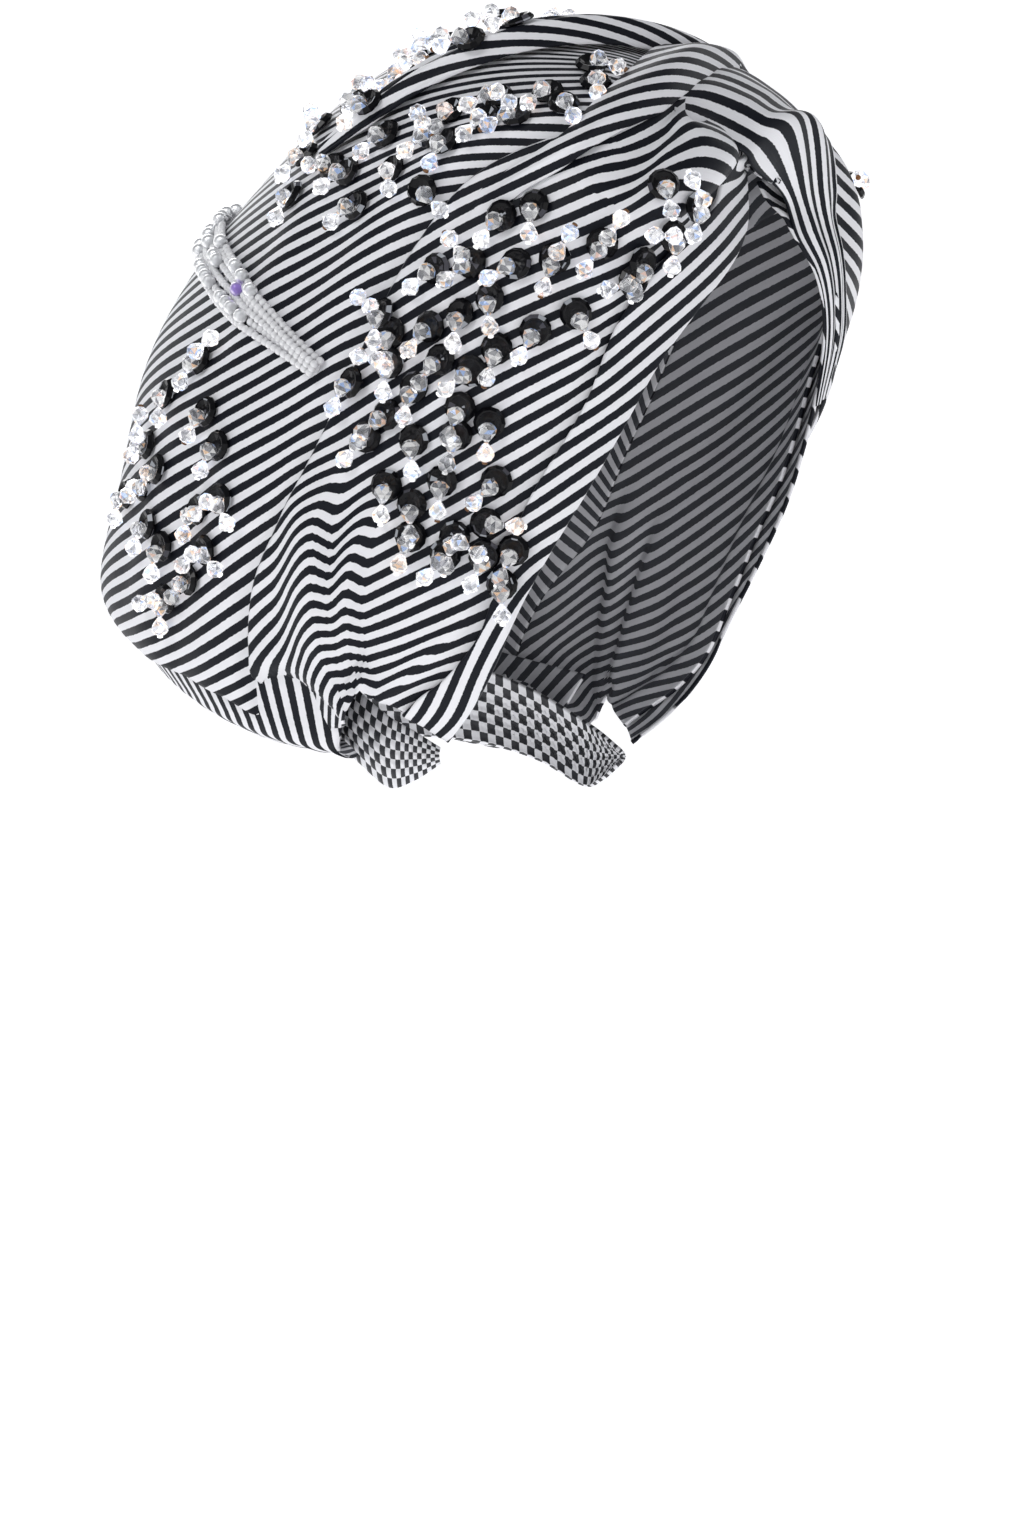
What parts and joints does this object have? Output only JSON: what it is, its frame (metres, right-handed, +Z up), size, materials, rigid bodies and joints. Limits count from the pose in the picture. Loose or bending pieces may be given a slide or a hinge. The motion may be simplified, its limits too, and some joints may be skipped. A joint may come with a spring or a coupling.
{
  "type": "turban headwrap",
  "caption": "Striped satin cotton turban headwrap in worn form, with a puffed crown bag, twisted brow wraps, sewn-on black paillettes and draped strings of glass beads.",
  "frame": {"origin": "on the inside of the crown, at the point where it bears on the top of the wearer's head (mount head_seat)", "axes": "+X is the wearer's left, -Y is the way the wearer faces, +Z is up along the head"},
  "size_m": [0.1914, 0.2477, 0.244],
  "materials": {
    "striped_cloth": "black and white striped cotton satin, soft sheen",
    "smocked_cloth": "the same striped satin, smocked over elastic",
    "jet_stone": "glossy black faceted cup paillettes, each with a pair of cut crystals",
    "clear_bead": "translucent white glass seed beads"
  },
  "bodies": {
    "root": {"crown_bag": "striped_cloth", "side_panel_right": "striped_cloth", "side_panel_left": "striped_cloth", "face_band_right": "striped_cloth", "face_band_left": "striped_cloth", "brow_fold_right": "striped_cloth", "brow_wrap_left": "striped_cloth", "top_roll": "striped_cloth", "front_twist": "striped_cloth", "bag_base": "striped_cloth", "nape_casing": "smocked_cloth", "paillettes_side_right": "jet_stone", "paillettes_side_left": "jet_stone", "paillettes_back_right": "jet_stone", "paillettes_back_left": "jet_stone", "paillettes_top_right": "jet_stone", "paillettes_top_left": "jet_stone", "bead_strings": "clear_bead"}
  },
  "joints": []
}
